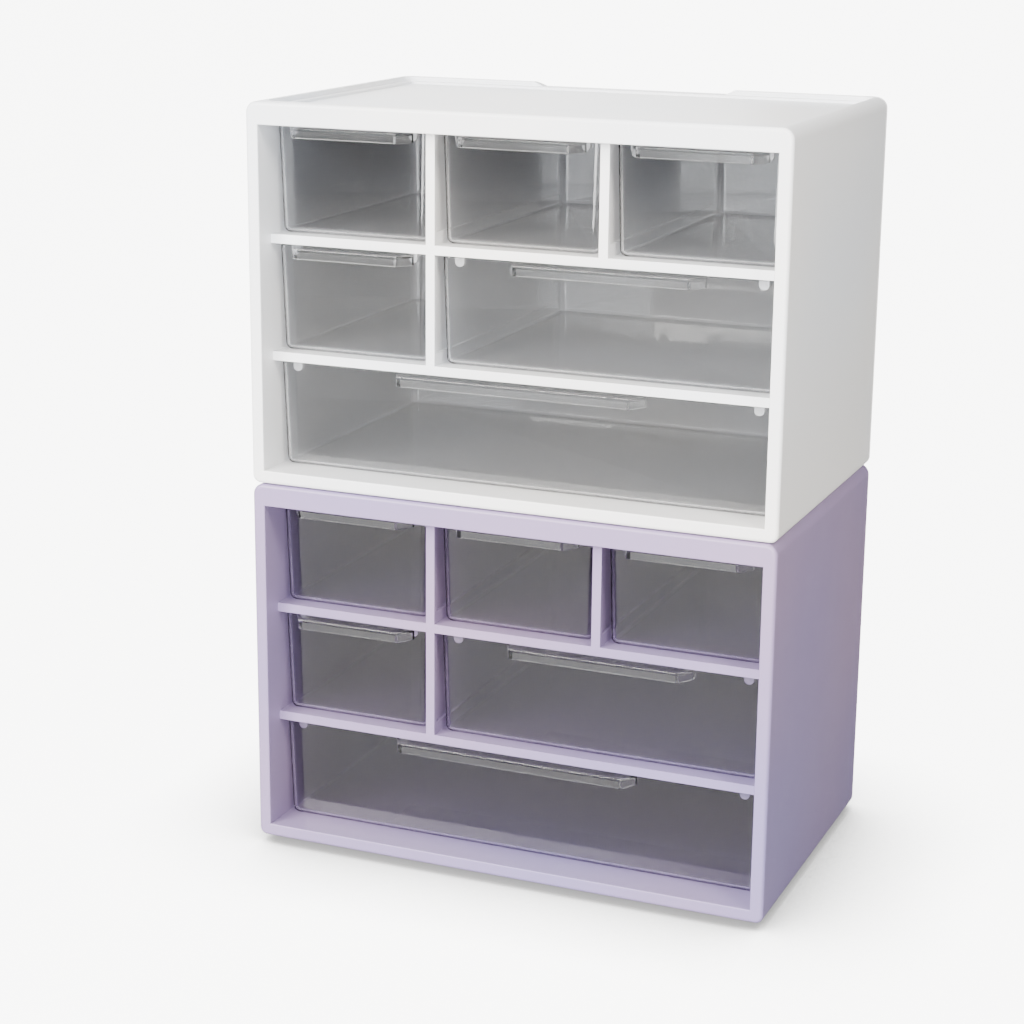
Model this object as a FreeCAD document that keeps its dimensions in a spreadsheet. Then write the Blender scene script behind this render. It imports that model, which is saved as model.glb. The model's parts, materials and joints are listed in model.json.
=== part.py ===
import FreeCAD, Part
import Sketcher
import os
import re

# Two table-top drawer cabinets, one standing on the other.
# Each has a sleeve-shaped case, a rack pushed in from behind, a back cover, feet and clear drawers.

os.makedirs("parts", exist_ok=True)
doc = FreeCAD.newDocument("drawer_cabinets")
sheet = doc.addObject("Spreadsheet::Sheet", "Sizes")

# Driving dimensions
# Millimetres; draft in degrees. Every other size is worked out from these.

SIZES = {
    # one cabinet
    "cabinet_width": 270,
    "cabinet_depth": 175,
    "cabinet_height": 187,
    "wall": 2.4,
    "rear_corner_radius": 10,
    "top_edge_radius": 5.5,
    "bottom_edge_radius": 4,
    "front_edge_radius": 1.8,
    # frame round the drawers
    "rim_side": 6.5,
    "rim_bottom": 6.5,
    "rim_top": 11,
    "reveal_depth": 12,
    "reveal_skin": 1.6,
    "mouth_edge_radius": 0.6,
    # recess in the top
    "tray_rim": 7,
    "tray_step": 2.4,
    "tray_ledge": 4,
    "tray_floor_step": 1.2,
    "tray_corner_radius": 6.5,
    "tray_edge_radius": 1,
    "notch_width": 100,
    "notch_drop": 2.4,
    "notch_slope": 5,
    # back cover
    "cover_depth": 10.5,
    "collar_length": 4,
    "collar_skin": 1.2,
    "collar_gap": 0.2,
    "bead_length": 18,
    "bead_height": 0.6,
    "bead_width": 1.2,
    "bead_offset": 1.4,
    "bead_spacing": 120,
    "bead_clearance": 0.2,
    "rib_reach": 3.6,
    "rib_margin": 12,
    # drawer rack
    "rail": 4.5,
    "rail_thickness": 3,
    "rack_wall": 1.6,
    "runner_height": 6,
    "flange_thickness": 2.5,
    "flange_gap": 0.3,
    "front_flange_at": 26,
    "rear_flange_at": 145,
    "tongue_width": 4.8,
    "tongue_drop": 5.7,
    "tongue_thickness": 2.2,
    "tongue_inset": 10,
    "tongue_gap": 0.8,
    "tongue_tip_radius": 2.2,
    # feet
    "foot_diameter": 14,
    "foot_inset": 18.5,
    "foot_edge_radius": 0.8,
    "stack_gap": 0.6,
    "stem_diameter": 4.8,
    "stem_clearance": 0.2,
    "stem_head_diameter": 6.4,
    "stem_head_height": 1.6,
    # drawers
    "drawer_inset": 5,
    "drawer_side_gap": 1,
    "drawer_top_gap": 1.3,
    "drawer_rear_gap": 0.6,
    "drawer_wall": 1.6,
    "drawer_draft": 1.5,
    "drawer_corner_radius": 4,
    "drawer_bottom_radius": 3.5,
    "drawer_lip_radius": 0.4,
    # handles
    "handle_reach": 9,
    "handle_plate": 1.8,
    "handle_skirt": 5.2,
    "handle_skin": 1.6,
    "handle_chamfer": 5.5,
    "handle_root": 0.8,
    "handle_lip_radius": 0.6,
    "handle_small": 66,
    "handle_wide": 98,
    "handle_full": 130,
}

for row, (alias, number) in enumerate(SIZES.items(), 1):
    sheet.set(f"A{row}", alias)
    sheet.set(f"B{row}", str(number))
    sheet.setAlias(f"B{row}", alias)
doc.recompute()


def size(text):
    """Point the size names in a formula at the sheet."""
    return re.sub(
        r"[a-z][a-z_]*",
        lambda word: "Sizes." + word.group() if word.group() in SIZES else word.group(),
        text,
    )


def value(text):
    """Work a formula out from the sheet as it stands."""
    return float(sheet.evalExpression(size(text)))


# Layout
# A cabinet's own frame has its origin at the front left bottom corner of the shell: x right, y back, z up.

SMALL = "((cabinet_width - 2 * rim_side - 2 * rail) / 3)"
ROW = "((cabinet_height - rim_bottom - rim_top - 2 * rail) / 3)"
PARTING = "(cabinet_depth - cover_depth)"
BACK = "(cabinet_depth - wall)"
CEILING = "(cabinet_height - tray_step - tray_floor_step - wall)"
TRAY = "(cabinet_height - tray_step)"
TRAY_FLOOR = "(cabinet_height - tray_step - tray_floor_step)"
RACK_END = f"({BACK} - rib_reach)"
FOOT_HEIGHT = "(tray_step + tray_floor_step + stack_gap)"
MOUTH_TOP = "(cabinet_height - rim_top)"
DRAWER_FRONT = "(reveal_depth + drawer_inset)"
TONGUE_FACE = f"({DRAWER_FRONT} + drawer_wall + tongue_gap)"

CABINETS = {
    "lower": FOOT_HEIGHT,
    "upper": f"({FOOT_HEIGHT} + cabinet_height + stack_gap)",
}

# first column, last column, row counted from the bottom, length of the handle at its root
CELLS = {
    "top_left": (0, 0, 2, "handle_small"),
    "top_middle": (1, 1, 2, "handle_small"),
    "top_right": (2, 2, 2, "handle_small"),
    "middle_left": (0, 0, 1, "handle_small"),
    "middle_wide": (1, 2, 1, "handle_wide"),
    "bottom": (0, 2, 0, "handle_full"),
}


def inset(low, high, amount):
    """A span drawn in by the same amount at both ends."""
    return f"({low} + {amount})", f"({high} - {amount})"


def span(middle, length):
    """A span of one length about its middle."""
    return f"({middle} - {length} / 2)", f"({middle} + {length} / 2)"


def column(number):
    """Left side of a column of openings."""
    return f"(rim_side + {number} * ({SMALL} + rail))"


def shelf(number):
    """Top of the shelf that a row of drawers stands on."""
    return f"(rim_bottom + {number} * ({ROW} + rail))"


def opening(cell):
    """Left and right sides, floor and top of one drawer opening."""
    first, last, row, handle = CELLS[cell]
    return (column(first), f"({column(last)} + {SMALL})"), (shelf(row), f"({shelf(row)} + {ROW})")


def foot_places():
    """Centres of the four feet."""
    left, right = inset("0", "cabinet_width", "foot_inset")
    front, rear = inset("0", "cabinet_depth", "foot_inset")
    return [(left, front), (right, front), (left, rear), (right, rear)]


def bead_centres():
    """Middles of the two snap beads on one side of the collar."""
    return list(span("(cabinet_width / 2)", "bead_spacing"))


def bead_span():
    """Front and rear of a snap bead."""
    return f"({PARTING} - bead_offset - bead_width)", f"({PARTING} - bead_offset)"


# Building steps

def new_body(label, x, y, z):
    """An empty piece whose place in the stack follows the sheet."""
    body = doc.addObject("PartDesign::Body", label)
    body.Label = label
    body.AllowCompound = True
    for axis, text in zip("xyz", (x, y, z)):
        body.setExpression(f"Placement.Base.{axis}", size(text))
    return body


def level_sketch(body, name, z):
    """A sketch that lies flat at height z."""
    sketch = body.newObject("Sketcher::SketchObject", name)
    plane = next(item for item in body.Origin.OriginFeatures if item.Role == "XY_Plane")
    sketch.AttachmentSupport = (plane, [""])
    sketch.MapMode = "FlatFace"
    sketch.setExpression("AttachmentOffset.Base.z", size(z))
    return sketch


def upright_sketch(body, name, y):
    """A sketch that stands facing the front, y behind the front face."""
    sketch = body.newObject("Sketcher::SketchObject", name)
    plane = next(item for item in body.Origin.OriginFeatures if item.Role == "XZ_Plane")
    sketch.AttachmentSupport = (plane, [""])
    sketch.MapMode = "FlatFace"
    sketch.setExpression("AttachmentOffset.Base.z", size(f"-({y})"))
    return sketch


def pin(sketch, kind, element, point, text):
    """Hold one point at a distance from the sketch's origin."""
    name = f"{kind[-1].lower()}_{element}_{point}"
    number = sketch.addConstraint(
        Sketcher.Constraint("Distance" + kind, -1, 1, element, point, value(text))
    )
    sketch.renameConstraint(number, name)
    sketch.setExpression("Constraints." + name, size(text))


def draw_polygon(sketch, points):
    """Straight-sided outline; each point is a pair of formulas."""
    first = sketch.GeometryCount
    places = [FreeCAD.Vector(value(a), value(b), 0) for a, b in points]
    count = len(points)
    for i in range(count):
        sketch.addGeometry(Part.LineSegment(places[i], places[(i + 1) % count]))
    for i in range(count):
        sketch.addConstraint(
            Sketcher.Constraint("Coincident", first + i, 2, first + (i + 1) % count, 1)
        )
    for i, (a, b) in enumerate(points):
        pin(sketch, "X", first + i, 1, a)
        pin(sketch, "Y", first + i, 1, b)


def draw_rectangle(sketch, across, along):
    """Rectangle between two spans."""
    draw_polygon(
        sketch,
        [
            (across[0], along[0]),
            (across[1], along[0]),
            (across[1], along[1]),
            (across[0], along[1]),
        ],
    )


def draw_rounded(sketch, across, along, radius):
    """Rectangle with round corners."""
    x0, x1 = value(across[0]), value(across[1])
    y0, y1 = value(along[0]), value(along[1])
    r = value(radius)
    point = FreeCAD.Vector
    up = point(0, 0, 1)
    sides = [
        (point(x0 + r, y0, 0), point(x1 - r, y0, 0)),
        (point(x1, y0 + r, 0), point(x1, y1 - r, 0)),
        (point(x1 - r, y1, 0), point(x0 + r, y1, 0)),
        (point(x0, y1 - r, 0), point(x0, y0 + r, 0)),
    ]
    centres = [
        point(x1 - r, y0 + r, 0),
        point(x1 - r, y1 - r, 0),
        point(x0 + r, y1 - r, 0),
        point(x0 + r, y0 + r, 0),
    ]
    quarter = 1.5707963267948966
    for start, end in sides:
        sketch.addGeometry(Part.LineSegment(start, end))
    for i, centre in enumerate(centres):
        turn = (i - 1) * quarter
        sketch.addGeometry(Part.ArcOfCircle(Part.Circle(centre, up, r), turn, turn + quarter))
    for i in range(4):
        sketch.addConstraint(Sketcher.Constraint("Tangent", i, 2, 4 + i, 1))
        sketch.addConstraint(Sketcher.Constraint("Tangent", 4 + i, 2, (i + 1) % 4, 1))
    for i in (0, 2):
        sketch.addConstraint(Sketcher.Constraint("Horizontal", i))
    for i in (1, 3):
        sketch.addConstraint(Sketcher.Constraint("Vertical", i))
    for i in (5, 6, 7):
        sketch.addConstraint(Sketcher.Constraint("Equal", 4, i))
    pin(sketch, "Y", 0, 1, along[0])
    pin(sketch, "X", 1, 1, across[1])
    pin(sketch, "Y", 2, 1, along[1])
    pin(sketch, "X", 3, 1, across[0])
    number = sketch.addConstraint(Sketcher.Constraint("Radius", 4, r))
    sketch.renameConstraint(number, "corner")
    sketch.setExpression("Constraints.corner", size(radius))


def draw_circle(sketch, x, y, diameter):
    """One circle."""
    centre = FreeCAD.Vector(value(x), value(y), 0)
    element = sketch.addGeometry(
        Part.Circle(centre, FreeCAD.Vector(0, 0, 1), value(diameter) / 2)
    )
    pin(sketch, "X", element, 3, x)
    pin(sketch, "Y", element, 3, y)
    number = sketch.addConstraint(Sketcher.Constraint("Diameter", element, value(diameter)))
    sketch.renameConstraint(number, f"bore_{element}")
    sketch.setExpression(f"Constraints.bore_{element}", size(diameter))


def grow(body, name, sketch, length):
    """Add material from the sketch, upward or toward the back."""
    pad = body.newObject("PartDesign::Pad", name)
    pad.Profile = sketch
    pad.Reversed = "Upright" in sketch.Name
    pad.setExpression("Length", size(length))
    return pad


def cut(body, name, sketch, length):
    """Take material away from the sketch, upward or toward the back."""
    pocket = body.newObject("PartDesign::Pocket", name)
    pocket.Profile = sketch
    pocket.Reversed = "Upright" not in sketch.Name
    pocket.setExpression("Length", size(length))
    return pocket


def block(body, name, across, along, up):
    """Add a box between three spans."""
    sketch = level_sketch(body, "Level" + name, up[0])
    draw_rectangle(sketch, across, along)
    return grow(body, name, sketch, f"{up[1]} - {up[0]}")


def hollow(body, name, across, along, up):
    """Take away a box between three spans."""
    sketch = level_sketch(body, "Level" + name, up[0])
    draw_rectangle(sketch, across, along)
    return cut(body, name, sketch, f"{up[1]} - {up[0]}")


def edges(feature, direction, foot=None, **planes):
    """Names of the edges that run in one direction, stand on one level or lie in the given planes."""
    names = []
    for number, edge in enumerate(feature.Shape.Edges, 1):
        box = edge.BoundBox
        extent = {"x": box.XLength, "y": box.YLength, "z": box.ZLength}
        low = {"x": box.XMin, "y": box.YMin, "z": box.ZMin}
        wanted = direction is None or max(extent, key=extent.get) == direction
        if foot is not None:
            wanted = wanted and abs(low["z"] - value(foot)) < 0.01
        for axis, texts in planes.items():
            flat = extent[axis] < 0.01
            wanted = wanted and flat and any(abs(low[axis] - value(text)) < 0.01 for text in texts)
        if wanted:
            names.append(f"Edge{number}")
    return names


def round_edges(body, name, feature, radius, direction, foot=None, **planes):
    """Round the edges that are picked by direction, level and plane."""
    doc.recompute()
    fillet = body.newObject("PartDesign::Fillet", name)
    fillet.Base = (feature, edges(feature, direction, foot, **planes))
    fillet.setExpression("Radius", size(radius))
    doc.recompute()
    return fillet


# Shared cuts

def cut_tray(body):
    """The stepped recess in the top, which the feet of a cabinet above stand in."""
    across = inset("0", "cabinet_width", "tray_rim")
    along = inset("0", "cabinet_depth", "tray_rim")
    sketch = level_sketch(body, "LevelTray", TRAY)
    draw_rounded(sketch, across, along, "tray_corner_radius")
    tray = cut(body, "Tray", sketch, "tray_step")
    return round_edges(body, "TrayEdge", tray, "tray_edge_radius", None, z=["cabinet_height"])


# Case

def make_case(label, x, y, z):
    body = new_body(label, x, y, z)
    sides = ("0", "cabinet_width")
    shell = block(body, "Shell", sides, ("0", PARTING), ("0", "cabinet_height"))
    top = round_edges(body, "TopEdges", shell, "top_edge_radius", "y", x=sides, z=["cabinet_height"])
    low = round_edges(body, "BottomEdges", top, "bottom_edge_radius", "y", x=sides, z=["0"])
    round_edges(body, "FrontEdges", low, "front_edge_radius", None, y=["0"])
    inside = inset("0", "cabinet_width", "wall")
    hollow(body, "Inside", inside, ("wall", PARTING), ("wall", CEILING))
    mouth = inset("0", "cabinet_width", "rim_side")
    around = inset("0", "cabinet_width", "(rim_side - reveal_skin)")
    skin = ("(rim_bottom - reveal_skin)", f"({MOUTH_TOP} + reveal_skin)")
    block(body, "Reveal", around, ("wall", "reveal_depth"), skin)
    opened = hollow(body, "Mouth", mouth, ("0", "reveal_depth"), ("rim_bottom", MOUTH_TOP))
    doc.recompute()
    rim = body.newObject("PartDesign::Fillet", "MouthEdge")
    picked = edges(opened, "z", x=list(mouth), y=["0"])
    picked += edges(opened, "x", y=["0"], z=["rim_bottom", MOUTH_TOP])
    rim.Base = (opened, picked)
    rim.setExpression("Radius", size("mouth_edge_radius"))
    cut_tray(body)
    across = inset("0", "cabinet_width", "(tray_rim + tray_ledge)")
    along = inset("0", "cabinet_depth", "(tray_rim + tray_ledge)")
    sketch = level_sketch(body, "LevelTrayFloor", TRAY_FLOOR)
    draw_rounded(sketch, across, along, "(tray_corner_radius - tray_ledge)")
    cut(body, "TrayFloor", sketch, "tray_floor_step")
    sketch = level_sketch(body, "LevelStems", "0")
    for across, along in foot_places():
        draw_circle(sketch, across, along, "(stem_diameter + stem_clearance)")
    cut(body, "StemHoles", sketch, "wall")
    along = inset(*bead_span(), "-bead_clearance")
    for name, up in {
        "RecessLow": ("(wall - bead_height - bead_clearance + collar_gap)", "wall"),
        "RecessHigh": (CEILING, f"({CEILING} + bead_height + bead_clearance - collar_gap)"),
    }.items():
        sketch = level_sketch(body, "Level" + name, up[0])
        for centre in bead_centres():
            across = span(centre, "(bead_length + 2 * bead_clearance)")
            draw_rectangle(sketch, across, along)
        cut(body, name, sketch, f"{up[1]} - {up[0]}")
    return body


# Back cover

def make_back_cover(label, x, y, z):
    body = new_body(label, x, y, z)
    sides = ("0", "cabinet_width")
    shell = block(body, "Shell", sides, (PARTING, "cabinet_depth"), ("0", "cabinet_height"))
    plan = round_edges(body, "RearCorners", shell, "rear_corner_radius", "z", x=sides, y=["cabinet_depth"])
    rear = ["cabinet_depth"]
    top = round_edges(body, "TopEdges", plan, "top_edge_radius", "x", y=rear, z=["cabinet_height"])
    round_edges(body, "BottomEdges", top, "bottom_edge_radius", "x", y=rear, z=["0"])
    # collar that plugs into the sleeve; the cover is hollow behind it
    outer = "(wall + collar_gap)"
    inner = "(wall + collar_gap + collar_skin)"
    ceiling = f"({CEILING} + wall)"
    front = f"({PARTING} - collar_length)"
    across = inset("0", "cabinet_width", outer)
    block(body, "Collar", across, (front, PARTING), inset("0", ceiling, outer))
    sketch = level_sketch(body, "LevelInside", inner)
    across = inset("0", "cabinet_width", inner)
    corner = f"(rear_corner_radius - {inner})"
    draw_rounded(sketch, across, (f"({front} - 2 * {corner})", BACK), corner)
    cut(body, "Inside", sketch, f"{ceiling} - 2 * {inner}")
    for name, up in {
        "BeadsLow": (f"({outer} - bead_height)", outer),
        "BeadsHigh": (f"({ceiling} - {outer})", f"({ceiling} - {outer} + bead_height)"),
    }.items():
        sketch = level_sketch(body, "Level" + name, up[0])
        for centre in bead_centres():
            draw_rectangle(sketch, span(centre, "bead_length"), bead_span())
        grow(body, name, sketch, f"{up[1]} - {up[0]}")

    # ribs that hold the rack forward against the reveal
    across = inset("0", "cabinet_width", "rib_margin")
    for number in (1, 2):
        top = shelf(number)
        block(body, f"Rib{number}", across, (RACK_END, BACK), (f"({top} - rack_wall)", top))

    cut_tray(body)
    sketch = upright_sketch(body, "UprightNotch", "(cabinet_depth - tray_rim - tray_edge_radius)")
    left, right = span("(cabinet_width / 2)", "notch_width")
    low = "(cabinet_height - notch_drop)"
    high = "(cabinet_height + notch_drop)"
    draw_polygon(
        sketch,
        [
            (left, low),
            (right, low),
            (f"({right} + 2 * notch_slope)", high),
            (f"({left} - 2 * notch_slope)", high),
        ],
    )
    cut(body, "Notch", sketch, "tray_rim + tray_edge_radius")
    return body


# Drawer rack

def make_drawer_rack(label, x, y, z):
    body = new_body(label, x, y, z)
    across = inset("0", "cabinet_width", "(rim_side - rack_wall)")
    up = ("(rim_bottom - rack_wall)", f"({MOUTH_TOP} + rack_wall)")
    block(body, "Grid", across, ("reveal_depth", RACK_END), up)
    across = inset("0", "cabinet_width", "(wall + flange_gap)")
    up = ("wall", f"({CEILING} - flange_gap)")
    for name, at in {"FrontFlange": "front_flange_at", "RearFlange": "rear_flange_at"}.items():
        block(body, name, across, (at, f"({at} + flange_thickness)"), up)

    # openings as seen from the front
    sketch = upright_sketch(body, "UprightOpenings", "reveal_depth")
    for cell in CELLS:
        draw_rectangle(sketch, *opening(cell))
    cut(body, "Openings", sketch, f"{RACK_END} - reveal_depth")

    # behind the rails only thin plates stay, with a low runner along each side of a drawer
    sketch = upright_sketch(body, "UprightPlates", "(reveal_depth + rail_thickness)")
    relief = "((rail - rack_wall) / 2)"
    for cell, (first, last, row, handle) in CELLS.items():
        (left, right), (low, high) = opening(cell)
        if first > 0:
            left = f"({left} - {relief})"
        if last < 2:
            right = f"({right} + {relief})"
        if row < 2:
            high = f"({high} + rail - rack_wall)"
        draw_rectangle(sketch, (left, right), (f"({low} + runner_height)", high))
    cut(body, "Plates", sketch, f"{RACK_END} - reveal_depth - rail_thickness")

    # stop tongues, two to a drawer, behind the top of its front wall
    sketch = upright_sketch(body, "UprightTongues", TONGUE_FACE)
    tips = []
    for cell, (first, last, row, handle) in CELLS.items():
        (left, right), (low, high) = opening(cell)
        root = f"({high} + rail - rack_wall)" if row < 2 else high
        tip = f"({high} - tongue_drop)"
        tips.append(tip)
        for centre in (f"({left} + tongue_inset)", f"({right} - tongue_inset)"):
            draw_rectangle(sketch, span(centre, "tongue_width"), (tip, root))
    tongues = grow(body, "Tongues", sketch, "tongue_thickness")
    round_edges(body, "TongueTips", tongues, "tongue_tip_radius", "y", z=tips)
    return body


# Feet

def make_feet(label, x, y, z):
    body = new_body(label, x, y, z)
    for name, low, length, diameter in (
        ("Pads", f"-{FOOT_HEIGHT}", FOOT_HEIGHT, "foot_diameter"),
        ("Stems", "0", "wall", "stem_diameter"),
        ("Heads", "wall", "stem_head_height", "stem_head_diameter"),
    ):
        sketch = level_sketch(body, "Level" + name, low)
        for across, along in foot_places():
            draw_circle(sketch, across, along, diameter)
        last = grow(body, name, sketch, length)
    round_edges(body, "PadEdges", last, "foot_edge_radius", None, z=[f"-{FOOT_HEIGHT}"])
    return body


# Drawer
# A drawer's own frame has its origin at the left end of its width, with the tip of the handle at y 0.

def make_drawer(label, x, y, z, cell):
    body = new_body(label, x, y, z)
    (left, right), (low, high) = opening(cell)
    handle = CELLS[cell][3]
    width = f"({right} - {left} - 2 * drawer_side_gap)"
    front = "handle_reach"
    rear = f"({BACK} - drawer_rear_gap - {DRAWER_FRONT} + handle_reach)"
    top = f"({high} - {low} - drawer_top_gap)"

    # outside, drafted inward toward the bottom
    sketch = level_sketch(body, "LevelOutside", top)
    draw_rectangle(sketch, ("0", width), (front, rear))
    outside = grow(body, "Outside", sketch, top)
    outside.Reversed = True
    outside.setExpression("TaperAngle", size("-drawer_draft"))
    corners = round_edges(body, "Corners", outside, "drawer_corner_radius", "z")
    round_edges(body, "BottomEdge", corners, "drawer_bottom_radius", None, z=["0"])

    # inside, with the same draft
    sketch = level_sketch(body, "LevelInside", top)
    draw_rectangle(sketch, inset("0", width, "drawer_wall"), inset(front, rear, "drawer_wall"))
    inside = cut(body, "Inside", sketch, f"{top} - drawer_wall")
    inside.Reversed = False
    inside.setExpression("TaperAngle", size("-drawer_draft"))
    radius = "(drawer_corner_radius - drawer_wall)"
    corners = round_edges(body, "InsideCorners", inside, radius, "z", foot="drawer_wall")
    radius = "(drawer_bottom_radius - drawer_wall)"
    floor = round_edges(body, "InsideFloor", corners, radius, None, z=["drawer_wall"])
    round_edges(body, "RimEdges", floor, "drawer_lip_radius", None, z=[top])

    # handle: a plate at the top edge with a skirt round its free sides
    middle = f"({width} / 2)"
    base = span(middle, handle)
    sketch = level_sketch(body, "LevelHandle", f"({top} - handle_skirt)")
    draw_polygon(
        sketch,
        [
            (f"({base[0]} + handle_chamfer)", "0"),
            (f"({base[1]} - handle_chamfer)", "0"),
            (base[1], f"({front} + handle_root)"),
            (base[0], f"({front} + handle_root)"),
        ],
    )
    plate = grow(body, "Handle", sketch, "handle_skirt")
    lips = [top, f"({top} - handle_skirt)"]
    round_edges(body, "HandleTip", plate, "handle_lip_radius", "x", y=["0"], z=lips)
    sketch = level_sketch(body, "LevelUnderHandle", f"({top} - handle_skirt)")
    reach = "(handle_chamfer + handle_skin)"
    draw_polygon(
        sketch,
        [
            (f"({base[0]} + {reach})", "handle_skin"),
            (f"({base[1]} - {reach})", "handle_skin"),
            (f"({base[1]} - handle_skin)", front),
            (f"({base[0]} + handle_skin)", front),
        ],
    )
    cut(body, "UnderHandle", sketch, "handle_skirt - handle_plate")
    return body


# Both cabinets
# The frame of the whole stack has its origin under the middle of the lower cabinet, at the feet.

for name, level in CABINETS.items():
    corner = ("-cabinet_width / 2", "-cabinet_depth / 2", level)
    make_case(f"{name}_case", *corner)
    make_back_cover(f"{name}_back_cover", *corner)
    make_drawer_rack(f"{name}_drawer_rack", *corner)
    make_feet(f"{name}_feet", *corner)
    for cell in CELLS:
        (left, right), (low, high) = opening(cell)
        x = f"{left} + drawer_side_gap - cabinet_width / 2"
        y = f"{DRAWER_FRONT} - handle_reach - cabinet_depth / 2"
        make_drawer(f"{name}_{cell}_drawer", x, y, f"{low} + {level}", cell)
doc.recompute()

# Check every step, then write one file per piece

for item in doc.Objects:
    if "Invalid" in item.State or "Error" in item.State:
        raise RuntimeError(f"{item.Label} failed: {item.getStatusString()}")

for piece in doc.findObjects("PartDesign::Body"):
    if piece.Shape.isNull() or not piece.Shape.isValid():
        raise RuntimeError(f"{piece.Label} has no valid shape")
    piece.Shape.exportStep(f"parts/{piece.Label}.step")
    print(piece.Label, len(piece.Shape.Solids), "solid(s),", round(piece.Shape.Volume / 1000, 1), "cm3")
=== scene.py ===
# %% [markdown]
# # Two stacked drawer cabinets
# A lilac cabinet with a white one standing on it. Each holds clear drawers behind a deep rim.
# This lesson gives the measured model real looking plastics, a soft studio and the camera of the picture.
# Lengths are metres here, and one unit of the measured model is one unit of the scene.

import json
import math

import bmesh
import bpy
from mathutils import Matrix, Vector

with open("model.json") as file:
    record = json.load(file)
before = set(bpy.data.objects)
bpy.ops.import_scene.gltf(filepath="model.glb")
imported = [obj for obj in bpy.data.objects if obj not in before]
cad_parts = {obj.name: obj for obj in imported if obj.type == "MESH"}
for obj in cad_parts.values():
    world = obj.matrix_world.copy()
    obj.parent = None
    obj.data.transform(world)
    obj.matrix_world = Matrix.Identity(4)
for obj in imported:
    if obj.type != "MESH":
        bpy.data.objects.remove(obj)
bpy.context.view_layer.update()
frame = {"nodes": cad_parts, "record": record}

# %% [markdown]
# ## Two small helpers
# Colours are given as web colours, so one function turns them into the linear values of shaders.
# A second one adds a node, fills in its sockets and links them, which keeps each material short.

# %% Helpers
MM = 0.001


def linear(web):
    """A web colour such as d8d2e0 as linear red, green, blue and full opacity."""
    values = []
    for i in (0, 2, 4):
        part = int(web[i : i + 2], 16) / 255
        values.append(part / 12.92 if part <= 0.04045 else ((part + 0.055) / 1.055) ** 2.4)
    return (*values, 1.0)


def add(tree, kind, **settings):
    """A new node; a setting is one of its own properties, a value for a socket, or an output to link."""
    node = tree.nodes.new(kind)
    for name, setting in settings.items():
        if hasattr(node, name):
            setattr(node, name, setting)
            continue
        socket = node.inputs[int(name[1:])] if name[0] == "_" else node.inputs[name.replace("_", " ")]
        if isinstance(setting, bpy.types.NodeSocket):
            tree.links.new(setting, socket)
        else:
            socket.default_value = setting
    return node


def new_material(name, **settings):
    """A material with its surface shader joined to the output, and its object coordinates."""
    material = bpy.data.materials.new(name)
    material.use_nodes = True
    tree = material.node_tree
    tree.nodes.clear()
    surface = add(tree, "ShaderNodeBsdfPrincipled", **settings)
    output = add(tree, "ShaderNodeOutputMaterial", Surface=surface.outputs["BSDF"])
    place = add(tree, "ShaderNodeTexCoord").outputs["Object"]
    return material, tree, surface, output, place


print("helpers ready")

# %% [markdown]
# ## Moulded plastic
# The cases are satin ABS mouldings. A close look shows a fine grain left by the tool's surface. The colour
# drifts a little, warm to cool, over the width of a hand. Light also goes a short way into the plastic,
# which softens the edges.

# %% Case plastic
def case_plastic(name, base, drift, roughness):
    material, tree, surface, output, place = new_material(
        name,
        IOR=1.5,
        Subsurface_Weight=0.06,
        Subsurface_Radius=(1.0, 0.9, 0.9),
        Subsurface_Scale=2 * MM,
    )

    # slow drift of the colour over 120 mm
    cloud = add(tree, "ShaderNodeTexNoise", Vector=place, Scale=1 / (120 * MM), Detail=0.0)
    tint = add(tree, "ShaderNodeMix", data_type="RGBA", _0=cloud.outputs["Fac"])
    tint.inputs["A"].default_value = linear(base)
    tint.inputs["B"].default_value = linear(drift)
    tree.links.new(tint.outputs["Result"], surface.inputs["Base Color"])

    # gloss that changes over 25 mm, as where hands have polished it
    wear = add(tree, "ShaderNodeTexNoise", Vector=place, Scale=1 / (25 * MM), Detail=3.0)
    low, high = roughness - 0.04, roughness + 0.05
    gloss = add(tree, "ShaderNodeMapRange", Value=wear.outputs["Fac"], To_Min=low, To_Max=high)
    tree.links.new(gloss.outputs["Result"], surface.inputs["Roughness"])

    # mould grain of 0.5 mm
    grain = add(tree, "ShaderNodeTexNoise", Vector=place, Scale=1 / (0.5 * MM), Detail=2.0)
    relief = add(tree, "ShaderNodeBump", Height=grain.outputs["Fac"], Strength=0.12, Distance=0.03 * MM)
    tree.links.new(relief.outputs["Normal"], surface.inputs["Normal"])
    return material


white_satin = case_plastic("white satin moulded plastic", "f6f1ea", "e3eaf5", 0.36)
lilac_satin = case_plastic("lilac satin moulded plastic", "98829f", "8079ab", 0.36)
print("case plastics:", white_satin.name, "|", lilac_satin.name)

# %% [markdown]
# ## Clear plastic
# The drawers are moulded in clear polystyrene. It bends light a little more than window glass. Its faces are
# never quite flat: slow waves from the flow of the melt bend the reflections.

# %% Drawer plastic
# the face of the drawers' front walls, measured from the middle of the cabinet
FRONT_WALL = -70.5 * MM


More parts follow.
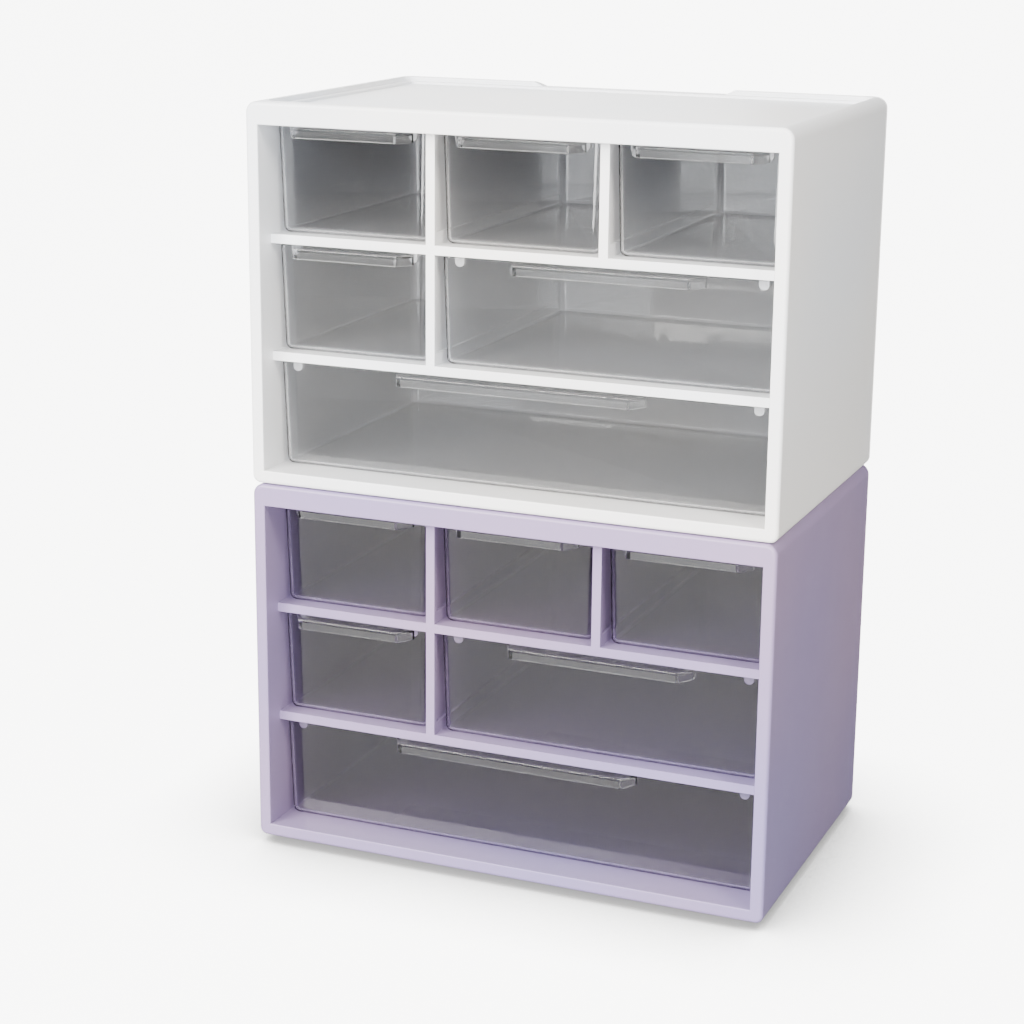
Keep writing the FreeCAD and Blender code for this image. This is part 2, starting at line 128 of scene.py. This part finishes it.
def clear_plastic(name, base, shade):
    material, tree, surface, output, place = new_material(
        name, Base_Color=linear(base), IOR=1.59, Transmission_Weight=1.0
    )

    # flow waves about 30 mm long
    waves = add(tree, "ShaderNodeTexNoise", Vector=place, Scale=1 / (30 * MM), Detail=1.0)
    relief = add(tree, "ShaderNodeBump", Height=waves.outputs["Fac"], Strength=0.2, Distance=0.15 * MM)
    tree.links.new(relief.outputs["Normal"], surface.inputs["Normal"])

    # a breath of haze in patches of 12 mm
    haze = add(tree, "ShaderNodeTexNoise", Vector=place, Scale=1 / (12 * MM), Detail=3.0)
    gloss = add(tree, "ShaderNodeMapRange", Value=haze.outputs["Fac"], To_Min=0.0, To_Max=0.06)

    # fingers have dulled the handle, which is all that stands in front of the drawer's front wall
    depth = add(tree, "ShaderNodeSeparateXYZ", Vector=place)
    dull = add(
        tree,
        "ShaderNodeMapRange",
        Value=depth.outputs["Y"],
        From_Min=FRONT_WALL + 0.3 * MM,
        From_Max=FRONT_WALL - 0.7 * MM,
        To_Max=0.12,
    )
    total = add(tree, "ShaderNodeMath", _0=gloss.outputs["Result"], _1=dull.outputs["Result"])
    tree.links.new(total.outputs["Value"], surface.inputs["Roughness"])

    # rays from lamps and soft light between surfaces go straight through, a little weakened
    through = add(tree, "ShaderNodeBsdfTransparent", Color=linear(shade))
    path = add(tree, "ShaderNodeLightPath")
    shown = surface.outputs["BSDF"]
    for ray in ("Is Shadow Ray", "Is Diffuse Ray"):
        both = add(
            tree,
            "ShaderNodeMixShader",
            _0=path.outputs[ray],
            _1=shown,
            _2=through.outputs["BSDF"],
        )
        shown = both.outputs["Shader"]
    tree.links.new(shown, output.inputs["Surface"])
    return material


clear = clear_plastic("clear polystyrene", "f5f6f7", "d7d7d8")
print("drawer plastic:", clear.name)

# %% [markdown]
# ## Soft pads
# The feet are a soft, slightly milky rubber with a dusty, matt skin.

# %% Foot rubber
def soft_rubber(name, base, dust):
    material, tree, surface, output, place = new_material(
        name, Roughness=0.6, Subsurface_Weight=0.2, Subsurface_Scale=1.5 * MM
    )
    specks = add(tree, "ShaderNodeTexNoise", Vector=place, Scale=1 / (3 * MM), Detail=4.0)
    tint = add(tree, "ShaderNodeMix", data_type="RGBA", _0=specks.outputs["Fac"])
    tint.inputs["A"].default_value = linear(base)
    tint.inputs["B"].default_value = linear(dust)
    tree.links.new(tint.outputs["Result"], surface.inputs["Base Color"])
    relief = add(tree, "ShaderNodeBump", Height=specks.outputs["Fac"], Strength=0.2, Distance=0.05 * MM)
    tree.links.new(relief.outputs["Normal"], surface.inputs["Normal"])
    return material


pad_rubber = soft_rubber("milky soft rubber", "c9c9c7", "b4b2ae")
print("foot rubber:", pad_rubber.name)

# %% [markdown]
# ## Give each piece its plastic
# The record names a material slot for every piece, and each slot gets one of the materials above.

# %% Assign the materials
SLOTS = {
    "lilac_plastic": lilac_satin,
    "white_plastic": white_satin,
    "clear_plastic": clear,
    "soft_pad": pad_rubber,
}

for part in frame["record"]["subparts"]:
    mesh = frame["nodes"][part["node"]].data
    mesh.materials.clear()
    mesh.materials.append(SLOTS[part["material_slot"]])

# %% [markdown]
# ## Studio
# A pale floor that curves up behind the cabinets, a soft key light from the upper left, a panel and a
# narrow strip from the front, one from above and one from behind. A small, slightly warm light stands close
# on the right, so that the side of the cabinets fades from the front upper edge to the rear lower one.

# %% Floor
def paper_floor():
    """A sweep of paper: flat below the object, curving up far behind it."""
    points = [(-5.0, -6.0, 0.0), (-5.0, 1.2, 0.0)]
    for step in range(1, 9):
        turn = step / 8 * math.pi / 2
        points.append((-5.0, 1.2 + 0.6 * math.sin(turn), 0.6 - 0.6 * math.cos(turn)))
    points.append((-5.0, 1.8, 2.6))
    shape = bmesh.new()
    corners = [shape.verts.new(point) for point in points]
    line = [shape.edges.new(pair) for pair in zip(corners, corners[1:])]
    pulled = bmesh.ops.extrude_edge_only(shape, edges=line)["geom"]
    moved = [item for item in pulled if isinstance(item, bmesh.types.BMVert)]
    bmesh.ops.translate(shape, verts=moved, vec=(10.0, 0.0, 0.0))
    bmesh.ops.recalc_face_normals(shape, faces=shape.faces)
    mesh = bpy.data.meshes.new("paper sweep")
    shape.to_mesh(mesh)
    shape.free()
    mesh.shade_smooth()
    sweep = bpy.data.objects.new("paper sweep", mesh)
    bpy.context.scene.collection.objects.link(sweep)
    return sweep


# the paper glows brightly to the camera but throws little of that light back on the object,
# and its glow is dimmed where the object stands close, a painted contact shadow like that under a soft light
# from all round
paper, tree, surface, output, place = new_material("white seamless paper", Roughness=0.9)
fibre = add(tree, "ShaderNodeTexNoise", Vector=place, Scale=1 / (4 * MM), Detail=3.0)
tint = add(tree, "ShaderNodeMix", data_type="RGBA", _0=fibre.outputs["Fac"])
tint.inputs["A"].default_value = linear("cacac9")
tint.inputs["B"].default_value = linear("c4c4c3")
tree.links.new(tint.outputs["Result"], surface.inputs["Base Color"])
# painted shadow: ambient occlusion dims the paper's glow close to the cabinets
painted_contact_shadow = add(tree, "ShaderNodeAmbientOcclusion", Distance=90 * MM, samples=8)
glow_with_painted_shadow = add(
    tree,
    "ShaderNodeMapRange",
    Value=painted_contact_shadow.outputs["AO"],
    From_Min=0.45,
    To_Min=1.0,
    To_Max=20.0,
)
glow = add(
    tree,
    "ShaderNodeEmission",
    Color=tint.outputs["Result"],
    Strength=glow_with_painted_shadow.outputs["Result"],
)
path = add(tree, "ShaderNodeLightPath")
share = add(tree, "ShaderNodeMath", operation="MULTIPLY", _0=path.outputs["Is Camera Ray"], _1=0.7)
both = add(
    tree,
    "ShaderNodeMixShader",
    _0=share.outputs["Value"],
    _1=surface.outputs["BSDF"],
    _2=glow.outputs["Emission"],
)
tree.links.new(both.outputs["Shader"], output.inputs["Surface"])

sweep = paper_floor()
sweep.data.materials.append(paper)
sweep.visible_glossy = False
print("floor:", sweep.name)

# %% Lights
def softbox(name, place, target, width, power, web):
    """A square area light that looks at a point."""
    light = bpy.data.lights.new(name, "AREA")
    light.shape = "SQUARE"
    light.size = width
    light.energy = power
    light.color = linear(web)[:3]
    lamp = bpy.data.objects.new(name, light)
    lamp.location = place
    aim = Vector(target) - Vector(place)
    lamp.rotation_euler = aim.to_track_quat("-Z", "Y").to_euler()
    bpy.context.scene.collection.objects.link(lamp)
    return lamp


middle = (0.0, 0.0, 0.19)
softbox("key light", (-0.75, -1.35, 0.95), middle, 0.9, 75, "fffbf5")
softbox("side light", (0.6, -0.45, 0.8), (0.1, -0.1, 0.4), 0.25, 8, "fffaf2")
softbox("front strip", (0.15, -1.5, 0.75), middle, 0.2, 20, "ffffff")
softbox("front panel", (0.3, -2.0, 0.4), middle, 1.0, 55, "ffffff")
softbox("top light", (-0.1, 0.1, 1.5), middle, 1.0, 16, "ffffff")
softbox("back light", (-0.8, 1.5, 0.9), middle, 0.9, 15, "ffffff")

# past the paper's edges the surround looks as bright as the paper, but lights the object weakly
world = bpy.data.worlds.new("bright surround")
world.use_nodes = True
tree = world.node_tree
tree.nodes.clear()
weak = add(tree, "ShaderNodeBackground", Color=linear("f6f6f5"), Strength=0.22)
bright = add(tree, "ShaderNodeBackground", Color=linear("f6f6f5"), Strength=9.0)
path = add(tree, "ShaderNodeLightPath")
both = add(
    tree,
    "ShaderNodeMixShader",
    _0=path.outputs["Is Camera Ray"],
    _1=weak.outputs["Background"],
    _2=bright.outputs["Background"],
)
add(tree, "ShaderNodeOutputWorld", Surface=both.outputs["Shader"])
bpy.context.scene.world = world

# %% [markdown]
# ## Camera
# The camera's place, angles and lens come from fitting the corners of both cabinets to the picture.

# %% Camera
yaw, pitch, roll = (math.radians(angle) for angle in (22.616, 15.213, 0.551))
forward = Vector(
    (-math.sin(yaw) * math.cos(pitch), math.cos(yaw) * math.cos(pitch), -math.sin(pitch))
)
right = forward.cross(Vector((0, 0, 1))).normalized()
up = right.cross(forward)
turned_right = right * math.cos(roll) + up * math.sin(roll)
turned_up = up * math.cos(roll) - right * math.sin(roll)

lens = bpy.data.cameras.new("camera")
lens.lens = 81.82
lens.sensor_width = 36.0
lens.dof.use_dof = False
camera = bpy.data.objects.new("camera", lens)
axes = Matrix((turned_right, turned_up, -forward)).transposed()
camera.matrix_world = Matrix.Translation((0.4135, -1.0691, 0.4815)) @ axes.to_4x4()
bpy.context.scene.collection.objects.link(camera)
bpy.context.scene.camera = camera
print("camera at", [round(value, 3) for value in camera.location])
